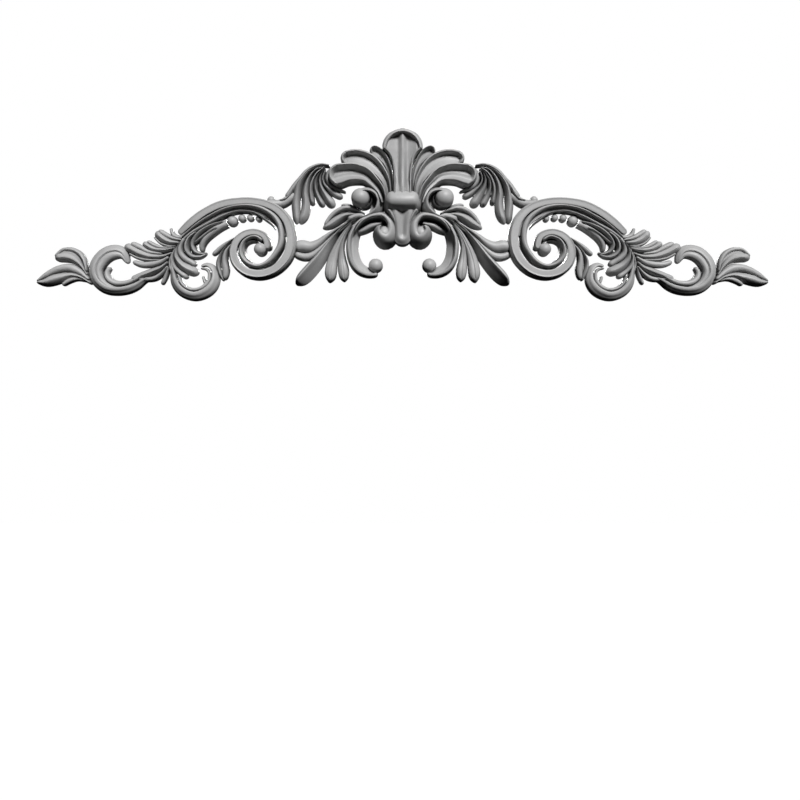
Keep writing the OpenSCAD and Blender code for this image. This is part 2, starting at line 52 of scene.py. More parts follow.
# The carving is made of strips. Each strip follows a smooth line through its stations and is
# carried straight down to the flat back:
#   (section, rounded start, rounded end, [(across, up, half width, crest height), ...])
# in millimetres, for the right half; the left half is its mirror image.
# A rounded end of 1 is a half round; 0 is a square end that runs into its neighbour.
STRIPS = {
    "shell": [
        # narrow lobe
        ("lobe1", 0, 1, [
            (11, 13, 1.8, 28), (12, 32, 2.3, 26), (15, 46, 3.3, 24.5), (20, 56, 4.7, 24),
            (26, 62, 5.5, 24), (34.5, 66.5, 5.1, 24)
        ]),
        # broad lobe
        ("lobe2", 0, 1, [
            (15, 11, 2.9, 29), (15.5, 19, 3.7, 28), (17.5, 30, 4.9, 26.5), (23, 40.5, 6.4, 25),
            (31.5, 50, 8.2, 24), (40.5, 55.5, 8.6, 23.5), (50, 57.5, 8.6, 23), (59, 56.5, 8.2, 22),
            (66, 54.5, 7.2, 21)
        ]),
        # lowest lobe
        ("lobe3", 0, 1, [
            (20, 8.5, 2.9, 27), (21, 14, 4.1, 28), (24.5, 22.5, 5.3, 26.5), (31, 30.5, 6.6, 24.5),
            (39, 38, 8.2, 23), (49, 41, 9.9, 22), (59, 41, 10.8, 21.5), (68.5, 39, 12, 21),
            (79, 36, 11.4, 20)
        ]),
        # fold under the lowest lobe
        ("roll", 0, 1, [
            (59.5, 49, 3, 15), (69, 48, 4, 15), (77, 44, 4.4, 15), (80.5, 37.5, 4, 14),
            (78, 30.5, 3.5, 13), (72.5, 26.5, 3, 11), (65.5, 24.5, 1.6, 9), (61.5, 23, 1.2, 8)
        ]),
    ],
    "upper_volute": [
        # arm that turns over the ball
        ("hook", 1, 1, [
            (46.5, -7.5, 1.4, 17), (37.5, -5.5, 2.6, 18), (30.5, -2, 3.5, 20), (25.5, 2, 4.5, 22),
            (23.5, 7.5, 4.5, 23), (23.5, 13, 4.5, 24), (27, 19, 3.9, 25), (33.5, 22.5, 3.1, 25),
            (41, 23, 2.7, 25), (48, 20.5, 2.9, 24)
        ]),
        # thin lip inside the arm
        ("roll", 1, 1, [
            (35.5, 19.5, 1, 19), (33, 14.5, 1, 19), (34, 9, 1.1, 18), (38.5, 5.5, 1.2, 17),
            (44.5, 5, 1.2, 15)
        ]),
        # low bed behind the ball
        ("flat", 0.6, 0.6, [
            (32.5, -4.5, 4.9, 12), (28, 5.5, 5.9, 12), (30.5, 15.5, 6.9, 12), (39.5, 19.5, 5.9, 12)
        ]),
    ],
    "lower_volute": [
        # bowed arm
        ("bowed", 1, 1, [
            (27, -63, 4.5, 9), (31.5, -64.5, 5.2, 11), (39.5, -63.5, 6.1, 13.5),
            (47, -59, 6.7, 15.5), (52, -51, 6.9, 17), (54, -41.5, 6.7, 18), (54, -31.5, 6.5, 18.5),
            (51.5, -23, 5.8, 19.5), (47, -15, 5.2, 20), (40.5, -10, 4.7, 20.5),
            (32.5, -7.5, 4.3, 20.5), (24.5, -7, 4.2, 20.5), (18, -9.5, 3.9, 20), (14.5, -15, 3, 19)
        ]),
        # snail
        ("snail", 1, 1, [
            (51.5, -21.5, 1, 19.5), (48, -15, 1.8, 20.5), (43, -9.5, 2.4, 21.5),
            (36.5, -5.5, 2.9, 22), (29.5, -3.5, 3.3, 22.5), (21.5, -3, 3.9, 23),
            (15.5, -6.5, 4.7, 23.5), (11, -12.5, 5.7, 24), (10, -19.5, 6.3, 24),
            (11.5, -26, 6.9, 24), (16, -30.5, 7.7, 24.5), (21, -30.5, 7.7, 25),
            (25.5, -27, 6.3, 25.5), (27.5, -21.5, 4.7, 26), (25.5, -17, 3.1, 26.5),
            (22, -16, 1.8, 26)
        ]),
        # low bed inside the snail
        ("flat", 1, 1, [
            (14, -12.5, 4.9, 12.5), (20, -18.5, 7.9, 12.5), (25.5, -12.5, 5.4, 12.5)
        ]),
        # web between snail and arm
        ("roll", 0, 1, [
            (22, -12, 3, 15), (33.5, -14.5, 4.2, 15), (40.5, -18, 4, 13.5), (49.5, -21.5, 3, 11)
        ]),
    ],
    "drop": [
        # outer pleat
        ("roll", 1, 1, [
            (16.5, 1.5, 3.1, 28), (12.5, -2.5, 3.3, 27), (9, -9, 2.6, 25), (7, -15, 1.8, 22)
        ]),
        # inner pleat
        ("roll", 1, 1, [
            (7, 0.5, 2.9, 27), (5.5, -5, 2.7, 25.5), (4.5, -11.5, 2, 23), (4, -19, 1.3, 20)
        ]),
    ],
    "lower_leaves": [
        # root of the fan
        ("roll", 1, 1, [
            (39.5, -5.5, 2.5, 17), (45.5, -4, 3.9, 17), (52.5, -5.5, 4.4, 15.5),
            (59.5, -8, 3.6, 13.5)
        ]),
        # thin upper edge
        ("roll", 1, 1, [
            (49.5, 4.5, 1.4, 10), (56.5, 8, 2.2, 9), (62.5, 9, 2.2, 8), (66.5, 8.5, 1.8, 7)
        ]),
        # short leaf, upper fold
        ("roll", 1, 2, [
            (40.5, -2, 1.3, 16), (50.5, 3, 2.4, 14), (60.5, 5.5, 3.2, 12), (69.5, 3, 3, 10),
            (77.5, -3, 2.7, 8), (84.5, -13, 2.2, 6.5)
        ]),
        # short leaf, lower fold
        ("ridge", 1, 2, [
            (41.5, -3, 1.2, 16), (50.5, -2, 2.4, 14), (60.5, -2.5, 4.2, 12.5),
            (69.5, -6.5, 5.4, 11), (78, -12, 4.8, 9.5), (86.5, -16, 2.4, 7)
        ]),
        # stub at the root
        ("roll", 1, 1, [
            (50.5, -5.5, 1, 16), (57.5, -8.5, 1.4, 14), (63.5, -13, 1.6, 12)
        ]),
        # twig beside the root
        ("roll", 1, 1.25, [
            (49.5, -8, 0.8, 16), (56.5, -12, 1, 15), (63.5, -17.5, 1.2, 13),
            (71.5, -22.5, 1.2, 11.5)
        ]),
        # stalk to the large scroll
        ("roll", 1, 1, [
            (59.5, -11, 1.2, 14), (71.5, -18, 2, 12.5), (81.5, -25, 3, 12), (91, -32.5, 4.6, 12),
            (100, -36.5, 6.3, 12.5), (109, -35.5, 6.9, 12.5), (118, -37.5, 6.3, 12)
        ]),
        # fold under the stalk
        ("roll", 1, 1, [
            (71.5, -20.5, 1.4, 9), (81.5, -30.5, 2.4, 9), (89.5, -38.5, 3.4, 9.5),
            (97.5, -45, 4.4, 10), (105, -47, 4.6, 10), (112, -45.5, 4.4, 9.5), (117, -42, 4, 9)
        ]),
        # outer finger
        ("folded", 0, 1.7, [
            (57.5, -10.5, 1.2, 15), (68.5, -21, 3, 13), (78.5, -33.5, 4.8, 11.5),
            (89, -49, 6.7, 14), (99, -61, 7.7, 15), (107.5, -70, 7.3, 14.5), (115.5, -77, 4.2, 11)
        ]),
        # middle finger
        ("leaf", 1, 1.7, [
            (54.5, -11.5, 1, 15.5), (63.5, -23.5, 2.8, 13.5), (71, -37.5, 4.2, 11.5),
            (75.5, -50, 5.6, 10.5), (77.5, -61.5, 6.5, 11.5), (78, -68, 5.9, 11), (79, -75, 3, 7.5)
        ]),
        # inner finger
        ("leaf", 1, 1.7, [
            (54.5, -13.5, 0.9, 15.5), (61.5, -24, 1.8, 13.5), (65.5, -36.5, 2.8, 11.5),
            (65.5, -49, 4.6, 9.5), (64, -60.5, 5.9, 11), (63.5, -68, 5.2, 10), (63, -74, 2.6, 7)
        ]),
    ],
    "upper_leaves": [
        # arched back
        ("roll", 1, 1, [
            (78.5, 51, 1.2, 12), (87, 52, 1.8, 13), (96, 49.5, 2.4, 13.5), (104, 44, 2.8, 13.5),
            (110, 37, 3, 13), (116, 30, 3.4, 12), (121, 23, 3.4, 11), (126, 16.5, 3.4, 10)
        ]),
        # tongue, left fold
        ("ridge", 1, 2, [
            (83, 47.5, 1, 18), (92, 45.5, 1.9, 18), (98.5, 39.5, 2.9, 17), (103, 31, 3.9, 15),
            (105, 21, 4.6, 13), (104.5, 10, 4.9, 11), (106, -0.5, 5, 10), (111, -11, 4.4, 9)
        ]),
        # tongue, right fold
        ("ridge", 1, 2, [
            (91, 48.5, 1.2, 16), (100, 44, 2.2, 16), (107, 37, 3.2, 15.5), (112, 29, 4, 14.5),
            (114.5, 20, 4.6, 12.5), (115.5, 9.5, 4.8, 10.5), (115, -1.5, 4.4, 9),
            (115, -11, 3.8, 8.5)
        ]),
        # sprig
        ("roll", 1, 1, [
            (117, 28, 1, 12), (121, 20.5, 1.3, 12), (126, 15, 1.4, 12), (133, 13.5, 1.2, 12)
        ]),
        # tie to the large scroll
        ("roll", 0, 0, [
            (117, 20.5, 4, 9), (123, 15.5, 5, 10), (130, 11, 5, 10.5), (137.5, 10, 4.6, 12),
            (144.5, 10.5, 4, 13)
        ]),
        # low bed
        ("flat", 1, 1, [
            (89.5, 44, 4, 8), (92, 34, 7.4, 8), (92.5, 25.5, 8.4, 7), (91.5, 19.5, 7.5, 6)
        ]),
        # low bed beside the shell
        ("flat", 1, 1, [
            (85.5, 36, 4, 8), (81, 29.5, 5, 7), (77.5, 23.5, 5.5, 6), (74, 21, 4, 5)
        ]),
        # first short finger
        ("ridge", 1, 1.25, [
            (84, 47, 1.1, 18), (91.5, 42, 2, 17.5), (96.5, 34.5, 2.7, 16), (99, 25.5, 3.1, 13.5),
            (98.5, 17, 3.2, 10.5), (97, 9, 3, 7.5)
        ]),
        # second short finger
        ("ridge", 1, 1.25, [
            (84, 46, 1.1, 18), (89.5, 40.5, 1.9, 17.5), (93.5, 33.5, 2.4, 16), (94, 25.5, 2.9, 13),
            (91, 17.5, 3.6, 9.5), (85.5, 7.5, 3.8, 8.5)
        ]),
        # broad finger
        ("ridge", 1, 1.25, [
            (83, 45.5, 0.9, 18), (87.5, 39.5, 1.9, 17.5), (89, 33, 2.7, 16), (87, 25.5, 3.7, 13.5),
            (82, 17.5, 4.8, 10.5), (74.5, 7, 5.5, 10.5)
        ]),
        # last finger
        ("roll", 1, 1.25, [
            (83, 44, 0.9, 17), (85.5, 37, 1.2, 16), (84.5, 31, 1.6, 14), (80, 26, 2.3, 12),
            (73.5, 21.5, 3.4, 9.5), (65, 17.5, 3.5, 8)
        ]),
    ],
    "large_scroll": [
        # floor under the shelf
        ("flat", 0, 0, [
            (239, -25.5, 3, 8), (226, -14.5, 5.9, 9), (211, -5, 6.4, 9.5), (193, 3, 6.9, 10),
            (173, 7, 6.9, 10), (155.5, 5, 6.9, 10), (141.5, -1, 6.9, 10), (130.5, -11, 6.9, 10),
            (124, -24, 7.9, 10.5)
        ]),
        # outer band
        ("fillet", 1, 1, [
            (242, -22, 3, 9), (229.5, -11, 4, 12), (214.5, 0, 4.1, 13), (195.5, 9, 4.1, 13.5),
            (172.5, 12.5, 3.9, 14), (153, 11, 4, 14), (137, 5, 4.3, 14.5), (125.5, -6, 4.8, 15),
            (120, -19.5, 5.1, 15), (119.5, -35.5, 5.2, 15.5), (125, -50.5, 5.1, 16),
            (137.5, -62.5, 4.9, 16), (153.5, -67.5, 4.9, 16.5), (168.5, -64.5, 4.9, 17),
            (179, -55, 4.7, 17.5), (182, -43, 4.5, 18), (178, -31, 4.1, 18),
            (169, -23.5, 3.7, 17.5), (158.5, -21.5, 3.5, 17), (149, -25, 3.5, 16.5),
            (145, -32.5, 3.5, 16), (145.5, -40.5, 3.9, 15)
        ]),
        # raised inner ridge
        ("roll", 1, 1, [
            (238, -26.5, 1, 12), (224.5, -15, 1.6, 14), (210, -5.5, 1.8, 15), (191.5, 3.5, 2, 15.5),
            (173, 7, 2.1, 16), (156, 5.5, 2.7, 16), (142.5, -1, 3.3, 16.5), (134, -10, 3.8, 17),
            (130.5, -21.5, 3.9, 17.5), (131, -34, 3.9, 18), (136.5, -45, 3.7, 18.5),
            (144.5, -54, 3.4, 19), (155, -58.5, 3.2, 19.5), (165.5, -55.5, 3.3, 20.5),
            (172, -48.5, 3.5, 21.5), (173, -40.5, 3.1, 22), (169.5, -32.5, 2.6, 22),
            (163, -28, 2.3, 21.5), (156, -27.5, 2.2, 21), (150, -31.5, 2.2, 20)
        ]),
        # inner roll
        ("roll", 1, 1, [
            (161, -55, 1, 16), (168, -49.5, 1.3, 17), (170.5, -42, 1.2, 17.5), (169, -35, 1, 17),
            (163.5, -31.5, 0.9, 16.5), (157, -31.5, 0.8, 16), (153.5, -34, 0.8, 15)
        ]),
        # thin roll over the beads
        ("roll", 1, 0, [
            (137.5, -17, 0.6, 13), (141, -12.5, 1, 13.5), (147.5, -7.5, 1.1, 14),
            (157.5, -1, 1.2, 14), (168, 1.5, 1.3, 14), (180, 1, 1.6, 14), (195, -4.5, 2, 14),
            (210.5, -12.5, 2.3, 14), (226, -21, 2.4, 13), (237, -29.5, 2, 12)
        ]),
    ],
    "side_leaf": [
        # short fold
        ("roll", 1, 1.25, [
            (180, -27, 1, 13), (189.5, -32.5, 2.3, 10.5), (197.5, -38, 3, 8.5), (206, -45, 2.4, 7)
        ]),
        # long leaf, right fold
        ("ridge", 1, 1.8, [
            (184, -31, 1, 14), (192, -39, 1.9, 12.5), (198, -48, 2.7, 11), (199.5, -56, 2.9, 9.5),
            (197.5, -64.5, 2.6, 8), (194, -73, 1.5, 5.5)
        ]),
        # long leaf, left fold
        ("roll", 1, 1.8, [
            (184, -34, 1.5, 13.5), (190.5, -42, 2.8, 12), (192.5, -51, 3.6, 10.5),
            (191.5, -61, 4.2, 9), (192.5, -72, 2.6, 7)
        ]),
    ],
    "husk": [
        # sheath
        ("roll", 0, 1.25, [
            (189.5, -11, 4.2, 11), (198, -15, 4.8, 12), (206.5, -21, 4.8, 12.5),
            (213, -27.5, 4.2, 12), (217, -35, 3.4, 10), (217, -42, 2.2, 7)
        ]),
        # sheath, upper fold
        ("ridge", 1, 1, [
            (192, -9.5, 2, 13.5), (204.5, -13.5, 3.2, 15), (215.5, -19.5, 3.7, 15.5),
            (223.5, -27, 3.7, 15), (227, -34.5, 3.7, 13.5), (224.5, -41.5, 3, 11),
            (217.5, -44, 2.2, 8), (212, -42.5, 1.2, 5.5)
        ]),
        # sheath, lower fold
        ("roll", 1, 1, [
            (199, -16, 1.2, 14), (208.5, -21, 1.8, 14.5), (216.5, -27, 2, 14), (225, -33.5, 1, 13)
        ]),
        # hooked leaf
        ("ridge", 1, 2, [
            (221.5, -20.5, 1.9, 15), (229.5, -27, 2.7, 15.5), (233.5, -35, 3.3, 14.5),
            (232.5, -42, 3.3, 12.5), (227, -46.5, 3.2, 10), (219, -46.5, 2.7, 7.5),
            (212, -43, 1.3, 5.5)
        ]),
        # thin leaf
        ("roll", 1, 1.25, [
            (234.5, -28, 1.9, 14), (239.5, -35.5, 3.2, 13.5), (240, -43, 3.8, 12),
            (235, -49, 3.8, 10), (229, -52.5, 3.5, 8), (223.5, -56, 3.2, 7.5)
        ]),
        # broad leaf
        ("ridge", 1, 1.25, [
            (238, -31, 1.2, 15), (243.5, -40, 2.4, 15), (244, -48.5, 4, 14), (239, -56, 5.3, 12),
            (231, -61, 5.9, 11), (221, -64.5, 4.4, 9)
        ]),
        # narrow leaf
        ("roll", 1, 1.25, [
            (244.5, -39, 1.2, 14), (248.5, -48.5, 2.2, 12.5), (247, -57, 2.8, 10.5),
            (241.5, -63.5, 3.1, 8.5), (232.5, -69.5, 3.3, 8)
        ]),
        # last leaf
        ("roll", 1, 1.25, [
            (247.5, -42.5, 1.1, 13.5), (251, -53.5, 1.8, 11.5), (249.5, -62, 2.5, 10),
            (244.5, -70, 2.5, 7)
        ]),
    ],
    "small_scroll": [
        # band
        ("rolled", 1, 0, [
            (218.5, -56.5, 1.6, 6), (212, -55, 2.3, 7), (205.5, -58.5, 3.2, 8),
            (202.5, -65, 3.8, 8.5), (202.5, -73, 4.5, 9.5), (206.5, -81, 5, 10.5),
            (214, -87, 5, 11), (224, -90, 4.8, 11), (234, -88, 4.8, 11), (242, -82.5, 4.8, 11),
            (247, -74.5, 4.4, 11), (249, -65, 3.2, 11), (250, -55, 2, 11), (249, -46.5, 1.2, 11)
        ]),
        # inner roll
        ("roll", 1, 0, [
            (219, -59, 1, 5), (213.5, -60, 1.5, 6), (209.5, -64, 2, 7), (209.5, -72, 2.7, 8),
            (213.5, -78, 3, 8.5), (220.5, -82, 2.6, 9), (228.5, -82.5, 2.3, 9),
            (235.5, -79.5, 2.2, 9.5), (240, -74, 2.2, 10), (242, -68, 1.8, 10)
        ]),
        # curl inside
        ("roll", 1, 1, [
            (213, -76.5, 2.2, 8), (215, -72, 2, 7), (216.5, -67.5, 1.6, 6)
        ]),
    ],
    "outer_leaves": [
        # small flame
        ("roll", 1, 1.25, [
            (233.5, -26, 1.7, 9), (242.5, -26, 2.6, 8), (248.5, -23, 2.7, 7), (251.5, -15.5, 1.5, 6)
        ]),
        # first finger, upper edge
        ("roll", 1, 1.25, [
            (238, -29.5, 1.4, 10), (248.5, -27, 2.3, 8.5), (256.5, -23, 3, 7.5),
            (264.5, -18, 2.9, 7.5)
        ]),
        # first finger
        ("ridge", 1, 1.25, [
            (240, -32.5, 2.5, 12), (251, -31.5, 4, 10.5), (260, -27, 4.8, 9.5),
            (267.5, -19.5, 4.7, 9.5)
        ]),
        # first finger, lower edge
        ("roll", 1, 1.25, [
            (244.5, -36, 1.3, 9), (254.5, -35, 1.6, 7.5), (263, -31.5, 1.6, 6),
            (269.5, -25, 1.3, 5.5)
        ]),
        # second finger, upper edge
        ("roll", 1, 1.25, [
            (248.5, -37, 1.4, 9), (260.5, -37, 1.8, 7.5), (268.5, -34.5, 2.5, 7),
            (277, -29.5, 2.2, 6.5)
        ]),
        # second finger
        ("ridge", 1, 1.25, [
            (245, -38, 1.9, 12), (256, -40, 3.2, 10.5), (267.5, -39, 3.7, 8.5), (275, -36, 4, 8.5),
            (281.5, -31, 3.6, 8)
        ]),
        # third finger, upper edge
        ("roll", 1, 1.25, [
            (260, -44, 1.4, 9), (274.5, -41.5, 2.4, 7.5), (284.5, -36.5, 3.3, 8),
            (294.5, -32, 3.2, 7.5)
        ]),
        # third finger
        ("ridge", 1, 1.25, [
            (247.5, -43, 2.2, 12.5), (259.5, -47, 3.2, 11.5), (274, -46.5, 4.5, 10),
            (286, -42.5, 5.3, 10), (294.5, -38, 5.2, 10), (301.5, -34.5, 4.5, 9)
        ]),
        # third finger, lower edge
        ("roll", 1, 1.25, [
            (260, -50.5, 1.4, 9), (274.5, -50.5, 1.7, 8), (286.5, -48, 1.8, 6.5),
            (296.5, -43, 1.5, 6)
        ]),
        # short lower finger
        ("roll", 1, 1.25, [
            (251.5, -47.5, 1.9, 12), (262, -53, 3.2, 10.5), (273, -55, 3.6, 8.5),
            (283.5, -55, 3.4, 8), (292.5, -52, 2.5, 7)
        ]),
        # fold that runs into the outer scroll
        ("ridge", 1, 1, [
            (252.5, -52.5, 2, 12.5), (260.5, -59, 3.6, 12), (270.5, -63, 4.3, 11),
            (282.5, -67.5, 4.2, 10.5), (294, -71.5, 3.4, 10)
        ]),
        # fold under it
        ("roll", 1, 1.25, [
            (253, -57.5, 1.4, 12), (260, -65, 2.4, 10.5), (268, -70, 3, 9), (277.5, -71.5, 2.6, 8),
            (286.5, -71, 1.6, 8)
        ]),
        # small spur
        ("roll", 1, 1.25, [
            (252.5, -58, 1.2, 11), (256.5, -68, 2.4, 8), (261, -77, 2.2, 6.5)
        ]),
    ],
    "outer_scroll": [
        # outer roll
        ("rolled", 1, 1, [
            (274, -70.5, 1.8, 8.5), (280, -73.5, 2.6, 9), (288, -79, 3.8, 10),
            (297.5, -83, 4.2, 11), (309.5, -84.5, 4.4, 11.5), (321, -82.5, 4.8, 12),
            (330, -76, 5, 12), (335, -67, 5.1, 12), (335, -57.5, 5.2, 12), (330.5, -48, 5, 11),
            (322.5, -40.5, 4.6, 10), (313, -37.5, 4.1, 9), (304.5, -39, 3.9, 8),
            (299.5, -45, 3.4, 7), (298.5, -54, 2.6, 5)
        ]),
        # middle roll
        ("roll", 1, 1, [
            (306.5, -81.5, 1.4, 10), (314.5, -80, 2.5, 10.5), (322.5, -75.5, 3.4, 11),
            (327, -69, 3.9, 11.5), (328, -61, 4.2, 11.5), (324.5, -53, 5, 10.5), (318, -47, 5, 10),
            (310, -44.5, 4.4, 9), (304, -46, 3.2, 7.5), (300, -52, 1.6, 6)
        ]),
        # inner roll and its curl
        ("roll", 1, 1, [
            (280, -66.5, 2, 10), (289, -71.5, 2.8, 10), (297.5, -75, 3.1, 10), (307, -76, 3.3, 9.5),
            (314.5, -74, 3.5, 9.5), (319.5, -69, 3.5, 9), (320, -63, 3.1, 8), (316.5, -58, 2.4, 7)
        ]),
    ],
    "end_leaf": [
        # upper lobe, low bed
        ("flat", 1, 1, [
            (345, -60.5, 3.5, 5), (350.5, -51, 7.5, 5), (360, -44.5, 6.2, 5), (371.5, -43.5, 4, 4.5)
        ]),
        # upper lobe, rim
        ("roll", 1, 1.25, [
            (341.5, -63, 1.3, 9.5), (344, -52, 2.2, 9.5), (348.5, -44.5, 2.6, 8.5),
            (355, -40, 2.6, 7.5), (362, -38.5, 2.5, 7), (369, -39.5, 2.2, 6.5), (377, -46.5, 1.8, 6)
        ]),
        # upper lobe, fold
        ("ridge", 1, 1.25, [
            (340.5, -67, 1.2, 9.5), (347, -57, 3.2, 9), (354.5, -50.5, 4.6, 9.5),
            (363, -47.5, 5.4, 10), (377, -47.5, 4.8, 9.5)
        ]),
        # long lobe, upper fold
        ("roll", 1, 2, [
            (338.5, -72, 1.8, 10), (347.5, -64.5, 3.6, 9.5), (357.5, -59.5, 4.8, 9.5),
            (367.5, -59, 4.4, 9), (377.5, -62, 3.8, 8.5), (387, -67, 3, 7.5), (397, -73, 1, 5)
        ]),
        # long lobe, lower fold
        ("ridge", 1, 2, [
            (336.5, -76, 1.7, 10.5), (347, -69.5, 2.8, 10), (357.5, -67, 3.9, 9.5),
            (368, -69, 5.5, 10.5), (379, -72, 6.1, 11), (387.5, -74.5, 4.6, 9.5),
            (397.5, -74, 1.4, 5.5)
        ]),
        # small lower lobe
        ("roll", 1, 1.25, [
            (340.5, -73.5, 1.4, 9), (352, -70.5, 2.6, 7.5), (361, -72.5, 3, 7.5),
            (369, -77.5, 2.2, 6.5)
        ]),
    ],
}

# Strips that cross the middle of the piece, whole.
MIDDLE = [
    # hooded middle lobe
    ("lobe0", 0, 1, [
        (0, 6, 9.9, 31), (0, 17.5, 9.7, 31), (0, 31.5, 9.7, 29), (0, 43.5, 10.5, 27.5),
        (0, 53.5, 12.5, 27.5), (0, 60, 16, 28), (0, 65, 20.9, 28.5), (0, 72.5, 22.2, 28.5),
        (0, 86.5, 22.2, 28.5)
    ]),
    # fluted foot of the lobe
    ("foot", 0, 1, [
        (0, 5, 11.6, 33), (0, 13, 11.4, 32.5), (0, 20.5, 10.7, 29.5), (0, 28, 10.1, 25.5),
        (0, 37, 9.4, 21.5), (0, 45.5, 8.8, 18), (0, 54, 8.5, 15)
    ]),
    # lip of the shell
    ("lip", 0.8, 0.8, [
        (-20.5, 8, 10.3, 31.5), (-11.5, 7.5, 11.8, 34), (0, 7, 12.2, 35), (11.5, 7.5, 11.8, 34),
        (20.5, 8, 10.3, 31.5)
    ]),
    # fluted drop
    ("drop", 0, 1, [
        (0, 3, 16.6, 27), (0, -3, 15.1, 26.5), (0, -9.5, 12.7, 25), (0, -16, 10.3, 23),
        (0, -23.5, 9.3, 21), (0, -29, 9.8, 20), (0, -35.5, 10.8, 20)
    ]),
]

# Balls, eyes and beads of the right half: (across, up, radius, height of the front).
BOSSES = [
    (20, -24.5, 8.5, 24.5),  # eye of the snail
    (45, 14.5, 10, 27),  # ball in the upper volute
    (29, -56.5, 7.7, 13),  # ball on the bowed arm
    (153, -40, 6.5, 20.5),  # eye of the large scroll
    (184, -8.5, 5.8, 12),  # beads, from the husk inwards
    (173.5, -5.5, 4.1, 11),
    (164.5, -5, 3.7, 10.5),
    (155.5, -6, 3.3, 10),
    (142, 14, 4.2, 11),  # knob on the tie
]


def linear(hex_colour):
    """Linear colour of an sRGB hex string such as A3A3A2."""
    values = [int(hex_colour[i:i + 2], 16) / 255 for i in (0, 2, 4)]
    return tuple(v / 12.92 if v <= 0.04045 else ((v + 0.055) / 1.055) ** 2.4
                 for v in values) + (1.0,)


# --- cross-sections of the strips: share of the crest height at u, from -1 (left of travel) to 1

def knots(u, points):
    """Smooth curve through (u, share) knots that never overshoots them."""
    x, y = np.asarray(points, float).T
    rise = np.diff(y) / np.diff(x)
    same = rise[:-1] * rise[1:] > 0
    inner = np.where(same, 2 * rise[:-1] * rise[1:] / np.where(same, rise[:-1] + rise[1:], 1), 0)
    slope = np.concatenate([rise[:1], inner, rise[-1:]])
    i = np.clip(np.searchsorted(x, u, side="right") - 1, 0, len(x) - 2)
    gap = x[i + 1] - x[i]
    t = np.clip((u - x[i]) / gap, 0, 1)
    return ((1 + 2 * t) * (1 - t) ** 2 * y[i] + t * (1 - t) ** 2 * gap * slope[i]
            + t * t * (3 - 2 * t) * y[i + 1] + t * t * (t - 1) * gap * slope[i + 1])


# Lobes of the shell: rim width in mm, how many rim widths the hollow takes to reach its floor,
# the floor as a share of the rim, and what the floor gains across, from the upper side to the
# lower.
LOBES = {
    "lobe0": (4.3, 1.5, 0.74, [(-1, 0), (1, 0)]),
    "lobe1": (1.5, 2.6, 0.74, [(-1, 0), (0.2, 0), (1, 0.12)]),
    "lobe2": (2.6, 2.3, 0.7, [(-1, 0), (0.1, 0.03), (1, 0.2)]),
    "lobe3": (2.2, 3.4, 0.58, [(-1, 0), (-0.1, 0.06), (0.42, 0.34), (0.7, 0.34), (1, 0.1)]),
}
# Widest rim of the middle lobe and of the others, as shares of the lobe's half width.
WIDEST_MIDDLE_RIM = 0.17
WIDEST_RIM = 0.3
# The rib of the middle lobe: half its width in mm, and half of what its crest adds to the share.
RIB_HALF = 5.5
RIB_RISE = 0.07
# Beside the rib the floor rises over this many mm, by this share.
FLUTE_WIDTH = 9
FLUTE_RISE = 0.13


def lobe(kind, side, inset, around_end, width):
    """Share of the crest height in a lobe: a rolled rim, a steep hollow under it and a floor."""
    rim, drop, floor, gain = LOBES[kind]
    rim = np.minimum(rim, (WIDEST_MIDDLE_RIM if kind == "lobe0" else WIDEST_RIM) * width)
    edge = knots(inset / rim, [(0, 0.8), (0.3, 0.93), (0.7, 0.99), (1, 1), (1.2, 0.95),
                               (drop, floor), (99, floor)])
    base = floor + knots(side, gain)
    if kind == "lobe0":
        across = np.abs(side) * width
        base = base + RIB_RISE * (1 + np.cos(math.pi * np.clip(across / RIB_HALF, 0, 1)))
        base = base + FLUTE_RISE * np.clip((across - RIB_HALF) / FLUTE_WIDTH, 0, 1) ** 1.5
        return np.maximum(edge, base)
    lower = np.clip((side - 0.1) / 0.3, 0, 1) * (1 - around_end)
    return np.maximum(floor + (edge - floor) * (1 - lower), np.minimum(base, 0.6 + 0.35 * inset))


# Carved sections, as (u, share of the crest height) knots. Round folds, ridges and veined leaves
# are worked out in section(); any other kind is flat.
SECTIONS = {
    "fillet": [(-1, 0.97), (-0.8, 1), (0.3, 1), (0.56, 1.03), (0.68, 0.93), (0.82, 0.9), (1, 0.66)],
    "lip": [(-1, 0.78), (-0.7, 0.92), (-0.4, 0.985), (-0.15, 1), (0.15, 0.965), (0.5, 0.82),
            (0.8, 0.58), (1, 0.36)],
    "foot": [(-1, 0.8), (-0.85, 0.9), (-0.6, 0.95), (-0.32, 0.86), (0, 1), (0.32, 0.86),
             (0.6, 0.95), (0.85, 0.9), (1, 0.8)],
    "bowed": [(-1, 0.22), (-0.6, 0.38), (0, 0.6), (0.12, 0.63), (0.22, 0.88), (0.42, 1),
              (0.65, 0.97), (0.85, 0.82), (1, 0.5)],
    "rolled": [(-1, 0.86), (-0.65, 1), (-0.3, 0.97), (0.05, 0.86), (0.14, 0.78), (0.5, 0.66),
               (0.75, 0.5), (1, 0.24)],
    "folded": [(-1, 0.35), (-0.75, 0.78), (-0.5, 1), (0, 0.72), (0.5, 0.42), (1, 0.12)],
    "snail": [(-1, 0.86), (-0.75, 0.97), (-0.4, 1), (0.3, 0.84), (0.75, 0.56), (1, 0.2)],
    "hook": [(-1, 0.62), (-0.6, 0.76), (0.1, 0.9), (0.62, 1), (0.84, 0.98), (1, 0.8)],
    "drop": [(-1, 0.8), (-0.5, 1), (0, 0.86), (0.5, 1), (1, 0.8)],
}


